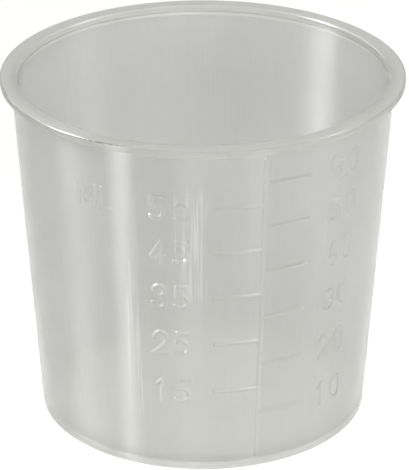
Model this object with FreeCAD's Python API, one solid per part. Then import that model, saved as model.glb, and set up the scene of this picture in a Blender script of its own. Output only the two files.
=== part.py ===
import FreeCAD, Part
import math
import os
from FreeCAD import Vector

# A graduated medicine cup of 60 ml, one moulded piece of translucent polypropylene.
# Millimetres, +Z up, origin at the centre of the foot. The scale faces -Y.

# Driving dimensions of the cup
rim_diameter = 51.5
cup_height = 46.0
foot_diameter = 42.6
neck_diameter = 48.74
wall_thickness = 0.8
flange_thickness = 0.9

# Roundings of the moulded section
flange_edge_rounding = 0.2
flange_root_rounding = 0.6
mouth_rounding = 0.25
floor_rounding = 1.8
foot_rounding = 0.4

# The floor stands clear of the table inside the foot ring, and a little more inside a step
floor_top = 0.9
foot_ring_inner_diameter = 36.8
foot_recess = 0.2
centre_step_diameter = 29.6
centre_recess = 0.35
step_run = 0.15

# Raised scale on the outer wall: a stem line with a tick for each volume on one side of it
relief_height = 0.18
relief_root = 0.12
left_volumes_ml = [15, 25, 35, 45, 55]
right_volumes_ml = [10, 20, 30, 40, 50, 60]
stem_width = 0.45
stem_bottom = 1.8
stem_top = 43.9
tick_width = 0.36
tick_start_angle = 0.8
tick_end_angle = 15.0

# Raised numbers and the unit, turned about the axis away from the stem line
number_angle = 28.4
digit_pitch_angle = 7.0
digit_width = 2.05
digit_height = 3.5
stroke_width = 0.42
unit_angle = -51.6
unit_pitch_angle = 6.8
unit_height = 3.3
unit_widths = {"M": 2.6, "L": 1.8}
unit_level_ml = 55

# Worked out from the driving dimensions
rim_radius = rim_diameter / 2
foot_radius = foot_diameter / 2
neck_radius = neck_diameter / 2
flange_underside = cup_height - flange_thickness
wall_slope = (neck_radius - foot_radius) / flange_underside
wall_lean = math.atan(wall_slope)
inner_offset = wall_thickness / math.cos(wall_lean)


def outer_radius(height):
    return foot_radius + wall_slope * height


def inner_radius(height):
    return outer_radius(height) - inner_offset


def fill_level(millilitres):
    # Height of the liquid surface, from the volume of a cone frustum on the floor
    floor_radius = inner_radius(floor_top)
    cubic_mm = millilitres * 1000
    surface_radius = (3 * wall_slope * cubic_mm / math.pi + floor_radius ** 3) ** (1 / 3)
    return floor_top + (surface_radius - floor_radius) / wall_slope


def corner_cut(before, corner, after, radius):
    # Start, middle and end of the arc that rounds one corner of an outline
    towards_before = (before - corner).normalize()
    towards_after = (after - corner).normalize()
    half_angle = towards_before.getAngle(towards_after) / 2
    run = radius / math.tan(half_angle)
    bisector = (towards_before + towards_after).normalize()
    middle = corner + bisector * (radius / math.sin(half_angle) - radius)
    return corner + towards_before * run, middle, corner + towards_after * run


def rounded_face(corners):
    # Closed outline in the XZ plane from (radius, height, rounding) corners
    points = [Vector(r, 0, z) for r, z, rounding in corners]
    cuts = []
    for index, point in enumerate(points):
        rounding = corners[index][2]
        following = points[(index + 1) % len(points)]
        if rounding:
            cuts.append(corner_cut(points[index - 1], point, following, rounding))
        else:
            cuts.append((point,))
    edges = []
    for index, cut in enumerate(cuts):
        if len(cut) == 3:
            edges.append(Part.Arc(*cut).toShape())
        next_cut = cuts[(index + 1) % len(cuts)]
        edges.append(Part.LineSegment(cut[-1], next_cut[0]).toShape())
    return Part.Face(Part.Wire(edges))


def cup_body():
    step_radius = centre_step_diameter / 2
    ring_radius = foot_ring_inner_diameter / 2
    section = rounded_face([
        (0, centre_recess, 0),
        (step_radius - step_run, centre_recess, 0),
        (step_radius, foot_recess, 0),
        (ring_radius - step_run, foot_recess, 0),
        (ring_radius, 0, 0),
        (foot_radius, 0, foot_rounding),
        (neck_radius, flange_underside, flange_root_rounding),
        (rim_radius, flange_underside, flange_edge_rounding),
        (rim_radius, cup_height, flange_edge_rounding),
        (inner_radius(cup_height), cup_height, mouth_rounding),
        (inner_radius(floor_top), floor_top, floor_rounding),
        (0, floor_top, 0),
    ])
    return section.revolve(Vector(0, 0, 0), Vector(0, 0, 1), 360)


def wall_band(low, high, start_angle, end_angle):
    # Raised band that follows the wall between two heights and two angles from the stem line
    outline = Part.makePolygon([
        Vector(outer_radius(low) - relief_root, 0, low),
        Vector(outer_radius(low) + relief_height, 0, low),
        Vector(outer_radius(high) + relief_height, 0, high),
        Vector(outer_radius(high) - relief_root, 0, high),
        Vector(outer_radius(low) - relief_root, 0, low),
    ])
    band = Part.Face(outline).revolve(Vector(0, 0, 0), Vector(0, 0, 1), end_angle - start_angle)
    band.rotate(Vector(0, 0, 0), Vector(0, 0, 1), start_angle - 90)
    return band


def stem_line():
    half_angle = math.degrees(stem_width / 2 / outer_radius(cup_height / 2))
    return wall_band(stem_bottom, stem_top, -half_angle, half_angle)


def tick(millilitres, side):
    level = fill_level(millilitres)
    angles = sorted([side * tick_start_angle, side * tick_end_angle])
    return wall_band(level - tick_width / 2, level + tick_width / 2, *angles)


# Centre lines of the characters in a box from -0.5 to 0.5 across and 0 to 1 up.
# A stroke is a list of points, and a pair of points is an arc through the first to the second.
strokes = {
    "0": [[(-0.5, 0.27), (-0.5, 0.73), ((0, 1), (0.5, 0.73)), (0.5, 0.27), ((0, 0), (-0.5, 0.27))]],
    "1": [[(-0.3, 0.8), (0.05, 1), (0.05, 0)]],
    "2": [[(-0.5, 0.73), ((0, 1), (0.5, 0.73)), ((0.44, 0.56), (0.28, 0.42)), (-0.5, 0), (0.5, 0)]],
    "3": [[(-0.46, 0.8), ((0.44, 0.8), (-0.08, 0.54))], [(-0.08, 0.54), ((0.49, 0.22), (-0.5, 0.2))]],
    "4": [[(0.22, 0), (0.22, 1), (-0.5, 0.32)], [(0.22, 1), (-0.5, 0.32), (0.5, 0.32)]],
    "5": [[(0.42, 1), (-0.4, 1), (-0.46, 0.55), ((0.5, 0.32), (-0.5, 0.12))]],
    "6": [[(-0.5, 0.27), ((0, 0.54), (0.5, 0.27)), ((0, 0), (-0.5, 0.27))],
          [(-0.5, 0.27), (-0.5, 0.6), ((-0.2, 0.97), (0.42, 0.88))]],
    "M": [[(-0.5, 0), (-0.5, 1), (0, 0.2), (0.5, 1), (0.5, 0)]],
    "L": [[(-0.5, 1), (-0.5, 0), (0.5, 0)]],
}


def centre_line(stroke, width, height):
    # The centre line keeps half a stroke inside the character's own box
    across = width - stroke_width
    up = height - stroke_width

    def place(point):
        return Vector(point[0] * across, point[1] * up - up / 2, 0)

    edges = []
    start = place(stroke[0])
    for step in stroke[1:]:
        if isinstance(step[0], tuple):
            end = place(step[1])
            edges.append(Part.Arc(start, place(step[0]), end).toShape())
        else:
            end = place(step)
            edges.append(Part.LineSegment(start, end).toShape())
        start = end
    return Part.Wire(edges)


def stroke_solid(line):
    # A stroke of constant width with round ends, standing on the XY plane
    half = stroke_width / 2
    if line.isClosed():
        outer = line.makeOffset2D(half)
        inner = line.makeOffset2D(-half)
        face = Part.makeFace([outer, inner], "Part::FaceMakerBullseye")
    else:
        face = Part.Face(line.makeOffset2D(half, 0, False, False))
    return face.extrude(Vector(0, 0, relief_height + relief_root))


def character(sign, width, height, angle, level):
    # The character's flat top is parallel to the leaning wall, at an angle from the stem line
    turn = math.radians(angle - 90)
    outward = Vector(math.cos(turn), math.sin(turn), 0)
    right = Vector(-math.sin(turn), math.cos(turn), 0)
    normal = outward * math.cos(wall_lean) - Vector(0, 0, math.sin(wall_lean))
    up = normal.cross(right)
    base = outward * outer_radius(level) + Vector(0, 0, level) - normal * relief_root
    pose = FreeCAD.Placement(base, FreeCAD.Rotation(right, up, normal, "ZXY"))
    solids = [stroke_solid(centre_line(stroke, width, height)) for stroke in strokes[sign]]
    solid = solids[0].fuse(solids[1:]).removeSplitter()
    solid.Placement = pose
    return solid


def number(millilitres, side):
    middle = side * number_angle
    tens, units = str(millilitres)
    level = fill_level(millilitres)
    half_pitch = digit_pitch_angle / 2
    return [
        character(tens, digit_width, digit_height, middle - half_pitch, level),
        character(units, digit_width, digit_height, middle + half_pitch, level),
    ]


def unit_letters():
    level = fill_level(unit_level_ml)
    half_pitch = unit_pitch_angle / 2
    return [
        character("M", unit_widths["M"], unit_height, unit_angle - half_pitch, level),
        character("L", unit_widths["L"], unit_height, unit_angle + half_pitch, level),
    ]


def graduated_cup():
    marks = [stem_line()]
    for volumes, side in ((left_volumes_ml, -1), (right_volumes_ml, 1)):
        for millilitres in volumes:
            marks.append(tick(millilitres, side))
            marks.extend(number(millilitres, side))
    marks.extend(unit_letters())
    return cup_body().fuse(marks).removeSplitter()


cup = graduated_cup()
os.makedirs("parts", exist_ok=True)
cup.exportStep("parts/cup.step")

print("cup solids", len(cup.Solids), "valid", cup.isValid(), "volume", round(cup.Volume, 1))
print("levels", {v: round(fill_level(v), 2) for v in sorted(left_volumes_ml + right_volumes_ml)})
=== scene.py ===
import math

import bmesh
import bpy
import numpy as np
from mathutils import Matrix, Vector
from mathutils.geometry import delaunay_2d_cdt


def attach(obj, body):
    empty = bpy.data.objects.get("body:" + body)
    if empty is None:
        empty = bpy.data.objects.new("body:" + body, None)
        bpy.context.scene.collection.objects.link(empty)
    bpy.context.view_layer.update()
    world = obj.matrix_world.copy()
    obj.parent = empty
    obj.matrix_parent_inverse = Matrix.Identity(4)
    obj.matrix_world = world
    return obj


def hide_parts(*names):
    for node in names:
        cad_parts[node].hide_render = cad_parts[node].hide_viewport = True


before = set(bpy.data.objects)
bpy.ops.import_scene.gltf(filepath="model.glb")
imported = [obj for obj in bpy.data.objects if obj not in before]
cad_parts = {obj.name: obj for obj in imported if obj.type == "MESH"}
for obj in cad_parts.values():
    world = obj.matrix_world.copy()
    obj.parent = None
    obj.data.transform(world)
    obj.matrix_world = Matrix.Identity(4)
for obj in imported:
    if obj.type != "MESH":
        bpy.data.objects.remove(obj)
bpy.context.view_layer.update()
scene = bpy.context.scene
millimetre = 0.001
sameSpot = 1e-6  # points nearer than this many millimetres are one
sheetWeld = 1e-5  # the same where the sheet is cut


def srgb(hexColour):
    # "c8c8c4" to the linear colour a shader wants
    parts = [int(hexColour[i:i + 2], 16) / 255 for i in (0, 2, 4)]
    return tuple(c / 12.92 if c <= 0.04045 else ((c + 0.055) / 1.055) ** 2.4 for c in parts) + (1.0,)


def addNode(tree, kind, settings=None, **inputs):
    # settings are a dictionary or an operation's name; inputs are sockets by name, with _ for a space, or by
    # place, as i0 or i1, and each takes a value, another node's socket, or a node for its first output
    node = tree.nodes.new(kind)
    if isinstance(settings, str):
        settings = {"operation": settings}
    for name, value in (settings or {}).items():
        setattr(node, name, value)
    for name, value in inputs.items():
        key = int(name[1:]) if name[1:].isdigit() else name.replace("_", " ")
        if isinstance(value, bpy.types.Node):
            value = value.outputs[0]
        if isinstance(value, bpy.types.NodeSocket):
            tree.links.new(value, node.inputs[key])
        else:
            node.inputs[key].default_value = value
    return node


smooth = {"interpolation_type": "SMOOTHSTEP"}  # how a Map Range node steps from one value to another

cup = {  # the moulded section, in millimetres and degrees
    "rimRadius": 25.75,
    "height": 46.0,
    "footRadius": 21.3,
    "neckRadius": 24.37,  # the wall under the flange
    "wall": 0.8,
    "flange": 0.9,
    "flangeEdge": 0.2,
    "flangeRoot": 0.6,
    "mouthEdge": 0.25,
    "floorEdge": 1.8,
    "footEdge": 0.4,
    "floorTop": 0.9,
    "ringRadius": 18.4,  # the inside of the foot ring
    "ringRecess": 0.2,
    "stepRadius": 14.8,
    "stepRecess": 0.35,
    "stepRun": 0.15,
    "stepEdge": 0.06,
    "sheetBottom": 0.6,  # the outer wall between these two heights is the sheet that carries the scale
    "sheetTop": 44.4,
    "segments": 288,
    "ringSpacing": 4.0,
    "arcStep": 12.0,
}
neckHeight = cup["height"] - cup["flange"]
wallSlope = (cup["neckRadius"] - cup["footRadius"]) / neckHeight
innerOffset = cup["wall"] / math.cos(math.atan(wallSlope))


def outerRadius(z):
    return cup["footRadius"] + wallSlope * z


def innerRadius(z):
    return outerRadius(z) - innerOffset


def roundedChain(corners):
    # (r, z, rounding) corners to (r, z, normal r, normal z) points; the air is on the left of the way
    points = [Vector((r, z)) for r, z, _ in corners]
    chain = []

    def side(way):
        return Vector((-way.y, way.x)).normalized()

    def add(place, normal):
        chain.append((place.x, place.y, normal.x, normal.y))

    def run(start, end):
        pieces = max(1, math.ceil((end - start).length / cup["ringSpacing"]))
        for k in range(pieces + 1):
            add(start.lerp(end, k / pieces), side(end - start))

    start = points[0]
    for k in range(1, len(points)):
        before, here = points[k - 1], points[k]
        rounding = corners[k][2]
        if not rounding or k == len(points) - 1:
            run(start, here)
            start = here
            continue
        after = points[k + 1]
        turnIn, turnOut = side(here - before), side(after - here)
        turn = turnIn.angle_signed(turnOut)
        reach = rounding * math.tan(abs(turn) / 2)
        arcStart = here - (here - before).normalized() * reach
        bulge = 1 if turn > 0 else -1  # 1 where the corner stands out
        centre = arcStart - turnIn * rounding * bulge
        run(start, arcStart)
        steps = max(2, math.ceil(math.degrees(abs(turn)) / cup["arcStep"]))
        for j in range(1, steps):
            normal = Matrix.Rotation(-turn * j / steps, 2) @ turnIn
            add(centre + normal * rounding * bulge, normal)
        start = here + (after - here).normalized() * reach
    return chain


def cleanChain(chain):
    # one point where two runs meet, with the mean of their normals
    kept = [list(chain[0])]
    for point in chain[1:]:
        if math.hypot(point[0] - kept[-1][0], point[1] - kept[-1][1]) > sameSpot:
            kept.append(list(point))
        else:
            mean = Vector((point[2] + kept[-1][2], point[3] + kept[-1][3])).normalized()
            kept[-1][2:] = mean
    return kept


lowerSection = cleanChain(roundedChain([
    (outerRadius(cup["sheetBottom"]), cup["sheetBottom"], 0),
    (cup["footRadius"], 0, cup["footEdge"]),
    (cup["ringRadius"], 0, cup["stepEdge"]),
    (cup["ringRadius"] - cup["stepRun"], cup["ringRecess"], cup["stepEdge"]),
    (cup["stepRadius"], cup["ringRecess"], cup["stepEdge"]),
    (cup["stepRadius"] - cup["stepRun"], cup["stepRecess"], cup["stepEdge"]),
    (0, cup["stepRecess"], 0),
]))
upperSection = cleanChain(roundedChain([
    (0, cup["floorTop"], 0),
    (innerRadius(cup["floorTop"]), cup["floorTop"], cup["floorEdge"]),
    (innerRadius(cup["height"]), cup["height"], cup["mouthEdge"]),
    (cup["rimRadius"], cup["height"], cup["flangeEdge"]),
    (cup["rimRadius"], neckHeight, cup["flangeEdge"]),
    (cup["neckRadius"], neckHeight, cup["flangeRoot"]),
    (outerRadius(cup["sheetTop"]), cup["sheetTop"], 0),
]))

# The raised scale is drawn on the unrolled wall
scale = {  # millimetres, degrees from the stem line, and volumes in ml
    "relief": 0.12,
    "stemWidth": 0.45,
    "stemBottom": 1.8,
    "stemTop": 43.9,
    "tickWidth": 0.36,
    "tickStart": 0.8,
    "tickEnd": 15.0,
    "leftVolumes": (15, 25, 35, 45, 55),
    "rightVolumes": (10, 20, 30, 40, 50, 60),
    "numberAngle": 28.4,
    "digitPitch": 7.0,
    "digitSize": (2.05, 3.5),
    "unitAngle": -51.6,
    "unitPitch": 6.8,
    "unitSizes": {"M": (2.6, 3.3), "L": (1.8, 3.3)},
    "unitVolume": 55,
    "strokeWidth": 0.42,
    "edgeInside": 0.16,
    "edgeOutside": 0.16,
    "edgeSteps": 6,
    "arcPoints": 12,
    "capPoints": 7,
    "cornerStep": 20.0,
    "seamWidth": 1e-4,
}

# Centre lines in a box from -0.5 to 0.5 across and 0 to 1 up; a pair of points is an arc through the first
strokes = {
    "0": [[(-0.5, 0.27), (-0.5, 0.73), ((0, 1), (0.5, 0.73)), (0.5, 0.27), ((0, 0), (-0.5, 0.27))]],
    "1": [[(-0.3, 0.8), (0.05, 1), (0.05, 0)]],
    "2": [[(-0.5, 0.73), ((0, 1), (0.5, 0.73)), ((0.44, 0.56), (0.28, 0.42)), (-0.5, 0), (0.5, 0)]],
    "3": [[(-0.46, 0.8), ((0.44, 0.8), (-0.08, 0.54))], [(-0.08, 0.54), ((0.49, 0.22), (-0.5, 0.2))]],
    "4": [[(0.22, 0), (0.22, 1), (-0.5, 0.32), (0.5, 0.32)]],
    "5": [[(0.42, 1), (-0.4, 1), (-0.46, 0.55), ((0.5, 0.32), (-0.5, 0.12))]],
    "6": [[(-0.5, 0.27), ((0, 0.54), (0.5, 0.27)), ((0, 0), (-0.5, 0.27))],
          [(-0.5, 0.27), (-0.5, 0.6), ((-0.2, 0.97), (0.42, 0.88))]],
    "M": [[(-0.5, 0), (-0.5, 1), (0, 0.2), (0.5, 1), (0.5, 0)]],
    "L": [[(-0.5, 1), (-0.5, 0), (0.5, 0)]],
}


def fillLevel(millilitres):
    # height of the liquid's surface in the tapered inside
    floorRadius = innerRadius(cup["floorTop"])
    surface = (3 * wallSlope * millilitres * 1000 / math.pi + floorRadius ** 3) ** (1 / 3)
    return cup["floorTop"] + (surface - floorRadius) / wallSlope


def arcThrough(a, b, c, pieces):
    # points after a on the circle from a through b to c
    ax, ay, bx, by, cx, cy = a.x, a.y, b.x, b.y, c.x, c.y
    d = 2 * (ax * (by - cy) + bx * (cy - ay) + cx * (ay - by))
    ux = (a.length_squared * (by - cy) + b.length_squared * (cy - ay) + c.length_squared * (ay - by)) / d
    uy = (a.length_squared * (cx - bx) + b.length_squared * (ax - cx) + c.length_squared * (bx - ax)) / d
    centre = Vector((ux, uy))
    start, middle, end = (math.atan2(p.y - uy, p.x - ux) for p in (a, b, c))
    sweep = (end - start) % (2 * math.pi)
    if (middle - start) % (2 * math.pi) > sweep:
        sweep -= 2 * math.pi
    radius = (a - centre).length
    turns = [start + sweep * k / pieces for k in range(1, pieces + 1)]
    return [centre + radius * Vector((math.cos(t), math.sin(t))) for t in turns]


def characterLines(sign, size, angle, level):
    # centre lines of one character on the unrolled wall, half a stroke inside its own box
    across, up = (side - scale["strokeWidth"] for side in size)
    middle = math.radians(angle) * outerRadius(level)
    lines = []

    def place(point):
        return Vector((middle + point[0] * across, level + (point[1] - 0.5) * up))

    for stroke in strokes[sign]:
        line = [place(stroke[0])]
        for step in stroke[1:]:
            if isinstance(step[0], tuple):
                line += arcThrough(line[-1], place(step[0]), place(step[1]), scale["arcPoints"])
            else:
                line.append(place(step))
        lines.append(line)
    return lines


def onWall(angle, z):
    return Vector((math.radians(angle) * outerRadius(z), z))


def stemLines():
    return [[onWall(0, scale["stemBottom"]), onWall(0, scale["stemTop"])]]


def tickLines():
    lines = []
    inset = scale["tickWidth"] / 2  # the round end stays inside the tick's own length
    for volumes, side in ((scale["leftVolumes"], -1), (scale["rightVolumes"], 1)):
        for volume in volumes:
            z = fillLevel(volume)
            start, end = onWall(side * scale["tickStart"], z), onWall(side * scale["tickEnd"], z)
            lines.append([start, end - Vector((side * inset, 0))])
    return lines


def numberLines():
    lines = []
    half = scale["digitPitch"] / 2
    for volumes, side in ((scale["leftVolumes"], -1), (scale["rightVolumes"], 1)):
        for volume in volumes:
            for sign, shift in zip(str(volume), (-half, half)):
                angle = side * scale["numberAngle"] + shift
                lines += characterLines(sign, scale["digitSize"], angle, fillLevel(volume))
    for sign, shift in (("M", -scale["unitPitch"] / 2), ("L", scale["unitPitch"] / 2)):
        size, angle = scale["unitSizes"][sign], scale["unitAngle"] + shift
        lines += characterLines(sign, size, angle, fillLevel(scale["unitVolume"]))
    return lines


def offsetOutlines(line, distance):
    # closed outlines at one distance round a centre line, with round ends and outer corners
    closed = (line[0] - line[-1]).length < sameSpot
    ways = [(b - a).normalized() for a, b in zip(line, line[1:])]

    def flank(points, headings):
        run = []
        for k, point in enumerate(points):
            into = headings[k - 1] if k or closed else None
            out = headings[k % len(headings)] if k < len(headings) or closed else None
            if into is None or out is None:
                way = out or into
                run.append(point + Vector((-way.y, way.x)) * distance)
                continue
            turn = into.angle_signed(out)
            steps = max(1, math.ceil(math.degrees(turn) / scale["cornerStep"]))
            for j in range(steps + 1):
                way = Matrix.Rotation(-turn * j / steps, 2) @ into
                run.append(point + Vector((-way.y, way.x)) * distance)
                if abs(turn) < 1e-4:  # straight on, so one point is enough
                    break
        return run

    def cap(point, way):
        steps = scale["capPoints"]
        side = Vector((-way.y, way.x))
        turns = [math.pi * j / (steps + 1) for j in range(1, steps + 1)]
        return [point + (side * math.cos(t) + way * math.sin(t)) * distance for t in turns]

    back = line[::-1]
    backWays = [-way for way in ways[::-1]]
    if closed:
        return [flank(line[:-1], ways), flank(back[:-1], backWays)]
    return [flank(line, ways) + cap(line[-1], ways[-1]) + flank(back, backWays) + cap(line[0], -ways[0])]


def unrolledWall(groups):
    # flat sheet cut along the generator lines, level rings and the outlines of the raised marks
    points, edges = [], []

    def addLoop(loop, ring):
        first = len(points)
        points.extend(loop)
        last = len(points) - 1
        edges.extend((k, k + 1) for k in range(first, last))
        if ring:
            edges.append((last, first))

    low, high = cup["sheetBottom"], cup["sheetTop"]
    turns = [360 * k / cup["segments"] - 180 for k in range(cup["segments"] + 1)]
    levels = math.ceil((high - low) / cup["ringSpacing"])
    for k in range(levels + 1):
        addLoop([onWall(turn, low + (high - low) * k / levels) for turn in turns], False)
    for turn in turns:
        addLoop([onWall(turn, low), onWall(turn, high)], False)
    edgeWidth = scale["edgeInside"] + scale["edgeOutside"]
    for lines, width in groups:
        inside = width / 2 - scale["edgeInside"]
        for line in lines:
            for k in range(scale["edgeSteps"] + 1):
                for outline in offsetOutlines(line, inside + edgeWidth * k / scale["edgeSteps"]):
                    addLoop(outline, True)
    places, _, faces = delaunay_2d_cdt(points, edges, [], 0, sheetWeld)[:3]
    # slivers that lie wholly on the seam at the back are left out
    onSeam = [abs(abs(p.x) - math.pi * outerRadius(p.y)) < scale["seamWidth"] for p in places]
    return places, [face for face in faces if not all(onSeam[k] for k in face)]


def meshObject(name, points, edges, faces):
    mesh = bpy.data.meshes.new(name)
    mesh.from_pydata(points, edges, faces)
    thing = bpy.data.objects.new(name, mesh)
    scene.collection.objects.link(thing)
    return thing


def lineObject(name, lines):
    points, edges = [], []
    for line in lines:
        edges += [(k, k + 1) for k in range(len(points), len(points) + len(line) - 1)]
        points += [(p.x * millimetre, p.y * millimetre, 0) for p in line]
    return meshObject(name, points, edges, [])


def chainObject(name, chain):
    points = [(r * millimetre, 0, z * millimetre) for r, z, _, _ in chain]
    return meshObject(name, points, [(k, k + 1) for k in range(len(points) - 1)], [])


def newTree(name, sockets):
    # a geometry tree with named inputs: name to (socket type, value)
    tree = bpy.data.node_groups.new(name, "GeometryNodeTree")
    tree.interface.new_socket("Geometry", in_out="OUTPUT", socket_type="NodeSocketGeometry")
    for label, (kind, value) in sockets.items():
        socket = tree.interface.new_socket(label, in_out="INPUT", socket_type="NodeSocket" + kind)
        if value is not None:
            socket.default_value = value
    entry, leave = tree.nodes.new("NodeGroupInput"), tree.nodes.new("NodeGroupOutput")
    return tree, entry.outputs, leave.inputs["Geometry"]


def wrappedPosition(tree, turn, radius, height):
    # place at a turn from the stem line, which faces -Y, a radius and a height
    sine = addNode(tree, "ShaderNodeMath", "SINE", i0=turn)
    cosine = addNode(tree, "ShaderNodeMath", "COSINE", i0=turn)
    across = addNode(tree, "ShaderNodeMath", "MULTIPLY", i0=radius, i1=sine)
    away = addNode(tree, "ShaderNodeMath", "MULTIPLY", i0=radius, i1=cosine)
    toFront = addNode(tree, "ShaderNodeMath", "MULTIPLY", i0=away, i1=-1.0)
    return addNode(tree, "ShaderNodeCombineXYZ", X=across, Y=toFront, Z=height)


def revolveTree():
    # turns a chain of points in the XZ plane about Z, as a grid with one column for each turn
    tree, given, result = newTree("revolvedSection", {
        "Section": ("Object", None),
        "Segments": ("Int", 96),
    })
    chain = addNode(tree, "GeometryNodeObjectInfo", Object=given["Section"]).outputs["Geometry"]
    count = addNode(tree, "GeometryNodeAttributeDomainSize", Geometry=chain).outputs["Point Count"]
    columns = addNode(tree, "ShaderNodeMath", "ADD", i0=given["Segments"], i1=1.0)
    grid = addNode(tree, "GeometryNodeMeshGrid", Vertices_X=columns, Vertices_Y=count)
    index = addNode(tree, "GeometryNodeInputIndex")
    row = addNode(tree, "ShaderNodeMath", "FLOORED_MODULO", i0=index, i1=count)
    middle = addNode(tree, "ShaderNodeMath", "ADD", i0=index, i1=0.5)
    passed = addNode(tree, "ShaderNodeMath", "DIVIDE", i0=middle, i1=count)
    column = addNode(tree, "ShaderNodeMath", "FLOOR", i0=passed)
    share = addNode(tree, "ShaderNodeMath", "DIVIDE", i0=column, i1=given["Segments"])
    fromBack = addNode(tree, "ShaderNodeMath", "MULTIPLY", i0=share, i1=2 * math.pi)
    turn = addNode(tree, "ShaderNodeMath", "SUBTRACT", i0=fromBack, i1=math.pi)
    place = addNode(tree, "GeometryNodeInputPosition")
    sample = addNode(tree, "GeometryNodeSampleIndex", {"data_type": "FLOAT_VECTOR"}, Geometry=chain,
                     Value=place, Index=row)
    spot = addNode(tree, "ShaderNodeSeparateXYZ", Vector=sample).outputs
    turned = wrappedPosition(tree, turn, spot["X"], spot["Z"])
    moved = addNode(tree, "GeometryNodeSetPosition", Geometry=grid, Position=turned)
    tree.links.new(moved.outputs[0], result)
    return tree


def cupTree(revolve):
    # rolls the flat sheet up, raises its marks and closes it with the revolved inside, rim and foot
    tree, given, result = newTree("mouldedCup", {
        "Geometry": ("Geometry", None),
        "Lower section": ("Object", None),
        "Upper section": ("Object", None),
        "Segments": ("Int", 96),
        "Foot radius": ("Float", 0.02),
        "Wall slope": ("Float", 0.07),
        "Relief": ("Float", 0.0002),
        "Edge inside": ("Float", 0.0001),
        "Edge outside": ("Float", 0.0001),
        "Stem lines": ("Object", None),
        "Stem width": ("Float", 0.0004),
        "Tick lines": ("Object", None),
        "Tick width": ("Float", 0.0004),
        "Number lines": ("Object", None),
        "Number width": ("Float", 0.0004),
        "Join distance": ("Float", 1e-6),
        "Material": ("Material", None),
    })
    relief = None
    for mark in ("Stem", "Tick", "Number"):
        lines = addNode(tree, "GeometryNodeObjectInfo", Object=given[mark + " lines"]).outputs["Geometry"]
        near = addNode(tree, "GeometryNodeProximity", {"target_element": "EDGES"}, i0=lines)
        half = addNode(tree, "ShaderNodeMath", "MULTIPLY", i0=given[mark + " width"], i1=0.5)
        top = addNode(tree, "ShaderNodeMath", "SUBTRACT", i0=half, i1=given["Edge inside"])
        bottom = addNode(tree, "ShaderNodeMath", "ADD", i0=half, i1=given["Edge outside"])
        raised = addNode(tree, "ShaderNodeMapRange", smooth, Value=near.outputs["Distance"], From_Min=top,
                         From_Max=bottom, To_Min=given["Relief"], To_Max=0.0)
        relief = addNode(tree, "ShaderNodeMath", "MAXIMUM", i0=relief, i1=raised) if relief else raised
    place = addNode(tree, "GeometryNodeInputPosition")
    spot = addNode(tree, "ShaderNodeSeparateXYZ", Vector=place).outputs
    leant = addNode(tree, "ShaderNodeMath", "MULTIPLY", i0=spot["Y"], i1=given["Wall slope"])
    radius = addNode(tree, "ShaderNodeMath", "ADD", i0=given["Foot radius"], i1=leant)
    turn = addNode(tree, "ShaderNodeMath", "DIVIDE", i0=spot["X"], i1=radius)
    lean = addNode(tree, "ShaderNodeMath", "ARCTANGENT", i0=given["Wall slope"])
    cosine = addNode(tree, "ShaderNodeMath", "COSINE", i0=lean)
    sine = addNode(tree, "ShaderNodeMath", "SINE", i0=lean)
    outward = addNode(tree, "ShaderNodeMath", "MULTIPLY", i0=relief, i1=cosine)
    downward = addNode(tree, "ShaderNodeMath", "MULTIPLY", i0=relief, i1=sine)
    reach = addNode(tree, "ShaderNodeMath", "ADD", i0=radius, i1=outward)
    height = addNode(tree, "ShaderNodeMath", "SUBTRACT", i0=spot["Y"], i1=downward)
    rolled = wrappedPosition(tree, turn, reach, height)
    marked = addNode(tree, "GeometryNodeStoreNamedAttribute", {"data_type": "FLOAT"},
                     Geometry=given["Geometry"], Name="relief", Value=relief)
    wall = addNode(tree, "GeometryNodeSetPosition", Geometry=marked, Position=rolled)
    joined = addNode(tree, "GeometryNodeJoinGeometry")
    for label in ("Upper section", "Lower section"):
        part = addNode(tree, "GeometryNodeGroup", {"node_tree": revolve}, Section=given[label],
                       Segments=given["Segments"])
        tree.links.new(part.outputs[0], joined.inputs[0])
    tree.links.new(wall.outputs[0], joined.inputs[0])
    closed = addNode(tree, "GeometryNodeMergeByDistance", Geometry=joined, Distance=given["Join distance"])
    shaded = addNode(tree, "GeometryNodeSetShadeSmooth", Geometry=closed)
    real = addNode(tree, "GeometryNodeRealizeInstances", Geometry=shaded)
    dressed = addNode(tree, "GeometryNodeSetMaterial", Geometry=real, Material=given["Material"])
    tree.links.new(dressed.outputs[0], result)
    return tree


def setInputs(modifier, values):
    for item in modifier.node_group.interface.items_tree:
        if item.item_type == "SOCKET" and item.in_out == "INPUT" and item.name in values:
            modifier[item.identifier] = values[item.name]


def exactNormals(mesh):
    # the wall's and the section's own normals, so that the gloss runs clean past the marks
    count = len(mesh.vertices)
    places, normals = np.empty(count * 3), np.empty(count * 3)
    mesh.vertices.foreach_get("co", places)
    mesh.vertex_normals.foreach_get("vector", normals)
    places, normals = places.reshape(-1, 3) / millimetre, normals.reshape(-1, 3)
    relief = np.empty(count)
    mesh.attributes["relief"].data.foreach_get("value", relief)
    radius = np.hypot(places[:, 0], places[:, 1])
    east, north = (places[:, k] / np.maximum(radius, 1e-9) for k in (0, 1))
    chain = np.array(lowerSection + upperSection)
    gaps = np.hypot(radius[:, None] - chain[:, 0], places[:, 2, None] - chain[:, 1])
    nearest, gap = gaps.argmin(1), gaps.min(1)
    onSheet = gap > 1e-3  # further than this from each point of the section is on the unrolled sheet
    lean = math.atan(wallSlope)
    across = np.where(onSheet, math.cos(lean), chain[nearest, 2])
    up = np.where(onSheet, -math.sin(lean), chain[nearest, 3])
    own = np.stack([across * east, across * north, up], 1)
    onSlope = onSheet & (relief > 1e-9) & (relief < scale["relief"] * millimetre - 1e-9)
    own[onSlope] = normals[onSlope]
    mesh.normals_split_custom_set_from_vertices(own.tolist())


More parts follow.
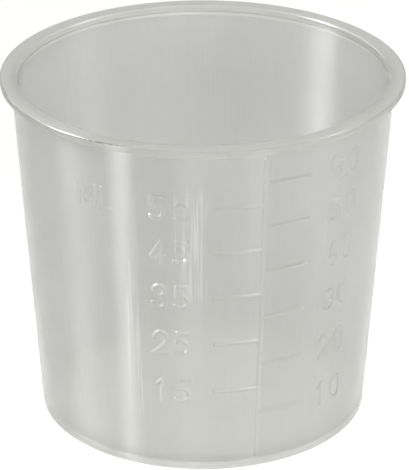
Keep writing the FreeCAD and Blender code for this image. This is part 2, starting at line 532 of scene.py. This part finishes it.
def closeShell(mesh):
    # drops faces of no size and turns all the others outwards
    shape = bmesh.new()
    shape.from_mesh(mesh)
    bmesh.ops.dissolve_degenerate(shape, edges=shape.edges, dist=1e-8)
    bmesh.ops.recalc_face_normals(shape, faces=shape.faces)
    if shape.calc_volume(signed=True) < 0:
        bmesh.ops.reverse_faces(shape, faces=shape.faces)
    openEdges = sum(not edge.is_manifold for edge in shape.edges)
    print("cup", len(shape.verts), "points", len(shape.faces), "faces", openEdges, "open edges",
          round(shape.calc_volume() / millimetre ** 3, 1), "cubic mm")
    shape.to_mesh(mesh)
    shape.free()


def mouldCup(material):
    marks = ((stemLines(), scale["stemWidth"]), (tickLines(), scale["tickWidth"]),
             (numberLines(), scale["strokeWidth"]))
    points, faces = unrolledWall(marks)
    flat = [(p.x * millimetre, p.y * millimetre, 0) for p in points]
    piece = meshObject("cup_moulded", flat, [], faces)
    helpers = {
        "Lower section": chainObject("lowerSection", lowerSection),
        "Upper section": chainObject("upperSection", upperSection),
        "Stem lines": lineObject("stemLines", marks[0][0]),
        "Tick lines": lineObject("tickLines", marks[1][0]),
        "Number lines": lineObject("numberLines", marks[2][0]),
    }
    modifier = piece.modifiers.new("mouldedCup", "NODES")
    modifier.node_group = cupTree(revolveTree())
    setInputs(modifier, {
        **helpers,
        "Segments": cup["segments"],
        "Foot radius": cup["footRadius"] * millimetre,
        "Wall slope": wallSlope,
        "Relief": scale["relief"] * millimetre,
        "Edge inside": scale["edgeInside"] * millimetre,
        "Edge outside": scale["edgeOutside"] * millimetre,
        "Stem width": scale["stemWidth"] * millimetre,
        "Tick width": scale["tickWidth"] * millimetre,
        "Number width": scale["strokeWidth"] * millimetre,
        "Material": material,
    })
    bpy.context.view_layer.update()
    evaluated = piece.evaluated_get(bpy.context.evaluated_depsgraph_get())
    mesh = bpy.data.meshes.new_from_object(evaluated)
    piece.modifiers.clear()
    piece.data = mesh
    mesh.name = piece.name
    for helper in helpers.values():
        bpy.data.objects.remove(helper)
    closeShell(mesh)
    exactNormals(mesh)
    return piece


finish = {  # millimetres, and degrees from the stem line; the rest are shares or plain values
    "colour": "d9d9d7",
    # the base tone is painted light: a lighter tone on the cup's floor that lifts the contact shadow seen
    # through the walls
    "baseLightColour": "e4e4e0",
    "rimColour": "e6e6e3",
    # the edge tone is painted shade: a darker tone on the flange's outer edge
    "edgeShadeColour": "b8b8b5",
    # the band tone is a painted highlight: a lighter band round the inside just under the flange
    "highlightBandColour": "e2e2df",
    "clear": 0.85,  # share of the light that passes, less where the plastic is thick
    "thickClear": 0.3,
    "satin": (0.112, 0.175),  # roughness from cloud to cloud
    "rimSatin": 0.09,  # more of it on the rim
    "ior": 1.49,
    "tint": "bcbcba",
    "tintDensity": 160.0,
    "milk": 0.18,  # share of haze, more where the plastic is thick
    "thickMilk": 0.48,
    "milkColour": "e6e6e3",
    "cloudSize": 7.0,  # streaks of the flow in the mould
    "cloudNoise": (0.3, 0.7),
    "cloudMilk": (-0.008, 0.008),
    "highlightBandHeight": 44.95,
    "highlightBandWidth": 0.7,
    "highlightBandCloud": 0.55,
    "sheen": 0.08,
    "rimSheen": 0.035,
    "sheenColour": "ffffff",
    "sheenRoughness": 0.28,
    "sheenStretch": 0.684,
    "dragSpacing": 0.35,  # the real lines are about a third of that apart, too fine to show
    "dragLength": 14.0,
    "dragDepth": 0.012,  # deep enough to show at that spacing
    "dragNoise": (0.5, 0.64),
    "dragSheen": 0.07,
    "dragEverywhere": 0.08,
    "dragStretches": ((-28.0, -16.0, 23.0, 42.0), (-44.0, -37.0, 6.0, 33.0)),  # start, end, low, high
    "dragFade": (2.3, 4.0),  # sideways, then up and down
    # dark broken specks on the flange's outer edges, in one stretch of the rim
    "speckColour": "7a7268",
    "speckShare": 0.5,
    "speckSpan": (-58.0, -41.0),
    "speckFade": 1.7,
    "speckSize": 0.5,
    "speckNoise": (0.45, 0.6),
}
# start and end of the smooth step into each zone, in millimetres or degrees from the place in its note
zones = {
    "flangeWall": (-0.7, -0.4),  # the neck's radius
    "mouth": (-0.9, -0.5),  # the mouth's height
    "flangeBottom": (-0.5, 0.1),  # the flange's underside
    "footTop": (1.5, 0.8),  # the table
    "footWall": (-0.6, 0.0),  # the foot ring's inner radius
    "baseLightTop": (4.0, 1.5),  # the table
    "baseLightWall": (-0.2, -0.5),  # the foot's radius
    "highlightBandWall": (-0.3, -0.5),  # the neck's radius
    "edgeShadeWall": (-0.3, -0.08),  # the rim's radius
    "speckWall": (-0.25, -0.1),  # the rim's radius
    "speckUpper": (0.6, 0.75),  # the flange's underside
    "speckLower": (0.35, 0.15),  # the flange's underside
    "speckLowerTurn": (-3.4, -2.3),  # the end of the dirty stretch
}


def maskOf(tree, *steps):
    # product of smooth steps from 0 to 1: each a value, the place that it is measured from, and start and end
    share = None
    for value, place, (start, end) in steps:
        step = addNode(tree, "ShaderNodeMapRange", smooth, Value=value, From_Min=place + start,
                       From_Max=place + end)
        share = addNode(tree, "ShaderNodeMath", "MULTIPLY", i0=share, i1=step) if share else step
    return share


def dirtMask(tree, place, height, radius, turn):
    # broken dark specks in the flange's two outer edges, in one stretch of the rim
    start, end = finish["speckSpan"]
    upperEdge = maskOf(tree, (height, neckHeight, zones["speckUpper"]))
    lowerEdge = maskOf(tree, (turn, end, zones["speckLowerTurn"]), (height, neckHeight, zones["speckLower"]))
    edges = addNode(tree, "ShaderNodeMath", "MAXIMUM", i0=upperEdge, i1=lowerEdge)
    specks = addNode(tree, "ShaderNodeTexNoise", Vector=place, Scale=1 / finish["speckSize"], Detail=1.0)
    spread = maskOf(tree, (turn, start, (0, finish["speckFade"])), (turn, end, (0, -finish["speckFade"])),
                    (radius, cup["rimRadius"], zones["speckWall"]), (specks, 0, finish["speckNoise"]))
    share = addNode(tree, "ShaderNodeMath", "MULTIPLY", i0=spread, i1=edges)
    return addNode(tree, "ShaderNodeMath", "MULTIPLY", i0=share, i1=finish["speckShare"])


def dragMask(tree, height, turn):
    # how strongly the fine upright lines show: faint all over, clear in the stretches given
    sideways, upright = finish["dragFade"]
    share = None
    for start, end, low, high in finish["dragStretches"]:
        stretch = maskOf(tree, (turn, start, (0, sideways)), (turn, end, (0, -sideways)),
                         (height, low, (0, upright)), (height, high, (0, -upright)))
        share = addNode(tree, "ShaderNodeMath", "MAXIMUM", i0=share, i1=stretch) if share else stretch
    return addNode(tree, "ShaderNodeMapRange", smooth, Value=share, To_Min=finish["dragEverywhere"])


def dragPattern(tree, level, height):
    # noise on the unrolled wall, drawn out into lines that run straight up its lean
    outward = addNode(tree, "ShaderNodeVectorMath", "NORMALIZE", i0=level)
    around = addNode(tree, "ShaderNodeVectorMath", "SCALE", i0=outward,
                     Scale=cup["footRadius"] / finish["dragSpacing"])
    rise = addNode(tree, "ShaderNodeMath", "DIVIDE", i0=height, i1=finish["dragLength"])
    up = addNode(tree, "ShaderNodeCombineXYZ", Z=rise)
    unrolled = addNode(tree, "ShaderNodeVectorMath", "ADD", i0=around, i1=up)
    return addNode(tree, "ShaderNodeTexNoise", Vector=unrolled, Scale=1.0, Detail=2.0)


def polypropylene():
    # natural polypropylene, injection moulded: milky see-through and satin, its gloss drawn out up the wall
    # by the fine turning marks of the mould, with faint drag marks from its way out
    material = bpy.data.materials.new("polypropyleneMilky")
    material.use_nodes = True
    tree = material.node_tree
    shader, output = tree.nodes["Principled BSDF"], tree.nodes["Material Output"]
    metres = addNode(tree, "ShaderNodeTexCoord").outputs["Object"]
    place = addNode(tree, "ShaderNodeVectorMath", "SCALE", i0=metres, Scale=1 / millimetre)
    spot = addNode(tree, "ShaderNodeSeparateXYZ", Vector=place).outputs
    height = spot["Z"]
    level = addNode(tree, "ShaderNodeCombineXYZ", X=spot["X"], Y=spot["Y"])
    radius = addNode(tree, "ShaderNodeVectorMath", "LENGTH", i0=level).outputs["Value"]
    toFront = addNode(tree, "ShaderNodeMath", "MULTIPLY", i0=spot["Y"], i1=-1.0)
    angle = addNode(tree, "ShaderNodeMath", "ARCTAN2", i0=spot["X"], i1=toFront)
    turn = addNode(tree, "ShaderNodeMath", "DEGREES", i0=angle)

    # the rim and the foot are thick, and show more of the milk
    atNeck = maskOf(tree, (radius, cup["neckRadius"], zones["flangeWall"]))
    atMouth = maskOf(tree, (height, cup["height"], zones["mouth"]))
    above = maskOf(tree, (height, neckHeight, zones["flangeBottom"]))
    flange = addNode(tree, "ShaderNodeMath", "MAXIMUM", i0=atNeck, i1=atMouth)
    inRim = addNode(tree, "ShaderNodeMath", "MULTIPLY", i0=flange, i1=above)
    inFoot = maskOf(tree, (height, 0, zones["footTop"]), (radius, cup["ringRadius"], zones["footWall"]))
    thick = addNode(tree, "ShaderNodeMath", "MAXIMUM", i0=inRim, i1=inFoot)
    # painted light: the cup's floor and the foot of the wall inside get a lighter tone, which lifts the
    # contact shadow seen there through the walls
    baseLight = maskOf(tree, (height, 0, zones["baseLightTop"]), (radius, cup["footRadius"], zones["baseLightWall"]))
    # painted shade: the flange's outer edge gets a darker tone
    edgeShade = maskOf(tree, (radius, cup["rimRadius"], zones["edgeShadeWall"]))
    # a painted highlight: a lighter, less clear band round the inside just under the flange, in place of the
    # bright line that light makes there
    offLine = addNode(tree, "ShaderNodeMath", "SUBTRACT", i0=height, i1=finish["highlightBandHeight"])
    gap = addNode(tree, "ShaderNodeMath", "ABSOLUTE", i0=offLine)
    highlightBand = maskOf(tree, (gap, 0, (0.5 * finish["highlightBandWidth"], 0)),
                     (radius, cup["neckRadius"], zones["highlightBandWall"]))
    darkSpecks = dirtMask(tree, place, height, radius, turn)

    tone = srgb(finish["colour"])
    for share, colour in ((baseLight, "baseLightColour"), (inRim, "rimColour"), (edgeShade, "edgeShadeColour"),
                          (highlightBand, "highlightBandColour"), (darkSpecks, "speckColour")):
        tone = addNode(tree, "ShaderNodeMix", {"data_type": "RGBA"}, i0=share, i6=tone,
                       i7=srgb(finish[colour])).outputs[2]
    tree.links.new(tone, shader.inputs["Base Color"])
    clear = addNode(tree, "ShaderNodeMapRange", smooth, Value=thick, To_Min=finish["clear"],
                    To_Max=finish["thickClear"])
    uncovered = addNode(tree, "ShaderNodeMapRange", smooth, Value=highlightBand, To_Min=1.0,
                        To_Max=1.0 - finish["highlightBandCloud"])
    seeThrough = addNode(tree, "ShaderNodeMath", "MULTIPLY", i0=clear, i1=uncovered)
    tree.links.new(seeThrough.outputs[0], shader.inputs["Transmission Weight"])

    # soft clouds in the satin and the milk
    clouds = addNode(tree, "ShaderNodeTexNoise", Vector=place, Scale=1 / finish["cloudSize"], Detail=3.0)
    thin, dense = finish["cloudNoise"]
    satin = addNode(tree, "ShaderNodeMapRange", smooth, Value=clouds, From_Min=thin, From_Max=dense,
                    To_Min=finish["satin"][0], To_Max=finish["satin"][1])
    rimSatin = addNode(tree, "ShaderNodeMath", "MULTIPLY", i0=inRim, i1=finish["rimSatin"])
    roughness = addNode(tree, "ShaderNodeMath", "ADD", i0=satin, i1=rimSatin)
    tree.links.new(roughness.outputs[0], shader.inputs["Roughness"])
    shader.inputs["IOR"].default_value = finish["ior"]
    cloudy = addNode(tree, "ShaderNodeMapRange", smooth, Value=clouds, From_Min=thin, From_Max=dense,
                     To_Min=finish["cloudMilk"][0], To_Max=finish["cloudMilk"][1])
    milky = addNode(tree, "ShaderNodeMapRange", smooth, Value=thick, To_Min=finish["milk"],
                    To_Max=finish["thickMilk"])
    haze = addNode(tree, "ShaderNodeMath", "ADD", i0=milky, i1=cloudy)
    covered = addNode(tree, "ShaderNodeMath", "MAXIMUM", i0=haze, i1=darkSpecks)
    milkTone = addNode(tree, "ShaderNodeMix", {"data_type": "RGBA"}, i0=darkSpecks, i6=srgb(finish["milkColour"]),
                       i7=srgb(finish["speckColour"])).outputs[2]
    milk = addNode(tree, "ShaderNodeBsdfTranslucent", Color=milkTone)
    hazy = addNode(tree, "ShaderNodeMixShader", i0=covered, i1=shader, i2=milk)

    # the gloss, stretched up the wall, with the drag lines as fine bumps and as lines of more gloss
    drag = dragPattern(tree, level, height)
    bump = addNode(tree, "ShaderNodeBump", Height=drag, Distance=finish["dragDepth"] * millimetre)
    tangent = addNode(tree, "ShaderNodeTangent", {"direction_type": "RADIAL", "axis": "Z"})
    sheen = addNode(tree, "ShaderNodeBsdfAnisotropic", Color=srgb(finish["sheenColour"]),
                    Roughness=finish["sheenRoughness"], Anisotropy=finish["sheenStretch"], Tangent=tangent,
                    Normal=bump)
    ridges = addNode(tree, "ShaderNodeMapRange", smooth, Value=drag, From_Min=finish["dragNoise"][0],
                     From_Max=finish["dragNoise"][1], To_Max=finish["dragSheen"])
    lines = addNode(tree, "ShaderNodeMath", "MULTIPLY", i0=ridges, i1=dragMask(tree, height, turn))
    plain = addNode(tree, "ShaderNodeMapRange", smooth, Value=inRim, To_Min=finish["sheen"],
                    To_Max=finish["rimSheen"])
    gloss = addNode(tree, "ShaderNodeMath", "ADD", i0=plain, i1=lines)
    glossy = addNode(tree, "ShaderNodeMixShader", i0=gloss, i1=hazy, i2=sheen)
    tree.links.new(glossy.outputs[0], output.inputs["Surface"])
    smoke = addNode(tree, "ShaderNodeVolumeAbsorption", Color=srgb(finish["tint"]),
                    Density=finish["tintDensity"])
    tree.links.new(smoke.outputs[0], output.inputs["Volume"])
    return material


studio = {  # metres, degrees and light strengths; azimuths run from the camera's side to its right
    "cameraTurn": -18.4,
    "cameraPlace": (-0.10674, -0.32172, 0.18281),
    "cameraTarget": (0.00019, -0.00008, 0.02304),
    "focalPixels": 2874.19,
    "frameHeight": 470,
    "sensorSize": 36.0,  # millimetres, along the frame's longer side
    "clipRange": (0.01, 20.0),
    "paperSize": 4.0,
    "paperColour": "f6f6f4",
    "paperRoughness": 0.9,
    "worldColour": "f6f6f6",
    "worldStrength": 0.27,
    "aimHeight": 0.02,
    "topSoftbox": (1.2, 0.9, 4.1),  # height, side, brightness
    # every other panel has its azimuth, distance, base height, width, height and brightness
    "lowSoftbox": (12, 0.7, 0.02, 0.6, 0.18, 11.0),
    "softPanels": {
        "frontSoftbox": (0, 0.7, 0.4, 0.5, 0.5, 1.3),
        "rightSoftbox": (90, 0.7, 0.4, 0.5, 0.5, 0.6),
        "backSoftbox": (180, 0.7, 0.4, 0.5, 0.5, 1.2),
        "leftSoftbox": (-90, 0.7, 0.4, 0.5, 0.5, 0.6),
    },
    "stripPanels": {  # seen in the cup's gloss only
        "keyStrip": (-47.5, 0.6, 0.0, 0.11, 0.05, 80.0),
        "leftStrip": (-92, 0.6, 0.35, 0.17, 0.3, 84.0),
        "rightStrip": (88, 0.6, 0.35, 0.21, 0.3, 20.0),
        "backStrip": (-148, 0.6, 0.3, 0.06, 0.3, 30.0),
        "frontStrip": (-7, 0.6, 0.0, 0.14, 0.05, 18.0),
        "scaleStrip": (30, 0.6, 0.0, 0.12, 0.05, 18.0),
    },
}


def paper():
    # uncoated paper, pressed smooth: matt and pale, with no gloss at all
    material = bpy.data.materials.new("paperPale")
    material.use_nodes = True
    shader = material.node_tree.nodes["Principled BSDF"]
    shader.inputs["Base Color"].default_value = srgb(studio["paperColour"])
    shader.inputs["Roughness"].default_value = studio["paperRoughness"]
    shader.inputs["Specular IOR Level"].default_value = 0.0
    return material


def addPanel(name, shading, azimuth, distance, base, width, height, brightness):
    # an area light on a ring round the cup, turned to it; with a shading collection it is a softbox, which
    # only the pieces in there shade and no gloss shows
    lamp = bpy.data.lights.new(name, "AREA")
    lamp.shape, lamp.size, lamp.size_y = "RECTANGLE", width, height
    lamp.energy = brightness * math.pi * width * height
    panel = bpy.data.objects.new(name, lamp)
    scene.collection.objects.link(panel)
    turn = math.radians(azimuth + studio["cameraTurn"])
    panel.location = Vector((math.sin(turn) * distance, -math.cos(turn) * distance, base + height / 2))
    aim = Vector((0, 0, studio["aimHeight"])) - panel.location
    panel.rotation_euler = aim.to_track_quat("-Z", "Y").to_euler()
    panel.visible_camera = False
    panel.light_linking.blocker_collection = shading
    panel.visible_glossy = shading is None
    return panel


def setStudio():
    half = studio["paperSize"] / 2
    corners = [(-half, -half, 0), (half, -half, 0), (half, half, 0), (-half, half, 0)]
    floor = meshObject("floorPaper", corners, [], [(0, 1, 2, 3)])
    floor.data.materials.append(paper())
    world = bpy.data.worlds.new("studioAir")
    world.use_nodes = True
    background = world.node_tree.nodes["Background"]
    background.inputs["Color"].default_value = srgb(studio["worldColour"])
    background.inputs["Strength"].default_value = studio["worldStrength"]
    scene.world = world
    shading = bpy.data.collections.new("softboxShading")  # thin milky walls hardly hold back the soft light
    shading.objects.link(floor)
    for name, values in studio["softPanels"].items():
        addPanel(name, shading, *values)
    height, side, brightness = studio["topSoftbox"]
    addPanel("topSoftbox", shading, 0, 0, height - side / 2, side, side, brightness)
    addPanel("lowSoftbox", None, *studio["lowSoftbox"]).visible_glossy = False
    for name, values in studio["stripPanels"].items():
        strip = addPanel(name, None, *values)
        strip.visible_diffuse = strip.visible_transmission = False


def setCamera():
    lens = bpy.data.cameras.new("photoCamera")
    lens.sensor_width = studio["sensorSize"]
    lens.lens = studio["sensorSize"] * studio["focalPixels"] / studio["frameHeight"]
    lens.clip_start, lens.clip_end = studio["clipRange"]
    camera = bpy.data.objects.new("photoCamera", lens)
    scene.collection.objects.link(camera)
    camera.location = Vector(studio["cameraPlace"])
    camera.rotation_mode = "QUATERNION"
    way = Vector(studio["cameraTarget"]) - camera.location
    camera.rotation_quaternion = way.to_track_quat("-Z", "Y")
    scene.camera = camera


print("moulding the cup")
cupPiece = mouldCup(polypropylene())
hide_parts("cup")
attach(cupPiece, "root")

print("setting the studio")
setStudio()
setCamera()
scene.view_settings.view_transform = "Standard"

print("finishing")
